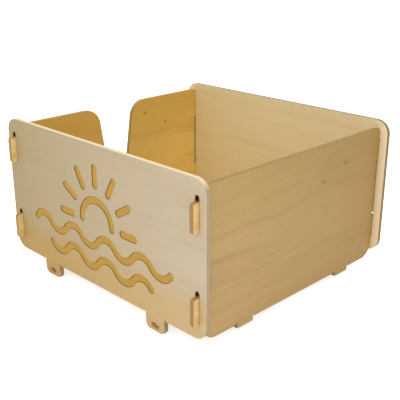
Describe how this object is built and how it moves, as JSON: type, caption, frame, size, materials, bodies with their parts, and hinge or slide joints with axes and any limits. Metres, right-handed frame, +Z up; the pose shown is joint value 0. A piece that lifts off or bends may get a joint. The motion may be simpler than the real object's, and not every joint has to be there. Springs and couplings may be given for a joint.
{
  "type": "open plywood toy crate",
  "caption": "Open-topped flat-pack plywood toy crate: four slotted walls held by hook tabs, a lift-out floor on ledges, a hand notch and slotted lugs for a deck.",
  "frame": {"origin": "centre of the footprint, on the plane under the four lugs on which the crate stands", "axes": "+X along the front wall to its right end, -Y out of the front (engraved) wall, +Z up"},
  "size_m": [0.384, 0.367, 0.21],
  "materials": {
    "birch_face": "sanded",
    "birch_side": "sanded",
    "birch_floor": "sanded",
    "zinc_screw": "zinc plated"
  },
  "bodies": {
    "fixed_walls": {"front_panel": "birch_face", "back_panel": "birch_face", "front_floor_ledge": "birch_floor", "back_floor_ledge": "birch_floor", "front_ledge_screws": "zinc_screw", "back_ledge_screws": "zinc_screw"},
    "left_side": {"left_side_panel": "birch_side"},
    "right_side": {"right_side_panel": "birch_side"},
    "loose_floor": {"floor_panel": "birch_floor"}
  },
  "joints": [
    {"name": "left_side_unhook", "type": "slide", "parent": "fixed_walls", "child": "left_side", "axis": [0, 0, 1], "range_m": [0, 0.005]},
    {"name": "right_side_unhook", "type": "slide", "parent": "fixed_walls", "child": "right_side", "axis": [0, 0, 1], "range_m": [0, 0.005]},
    {"name": "floor_lift_out", "type": "slide", "parent": "fixed_walls", "child": "loose_floor", "axis": [0, 0, 1], "range_m": [0, 0.19]}
  ]
}
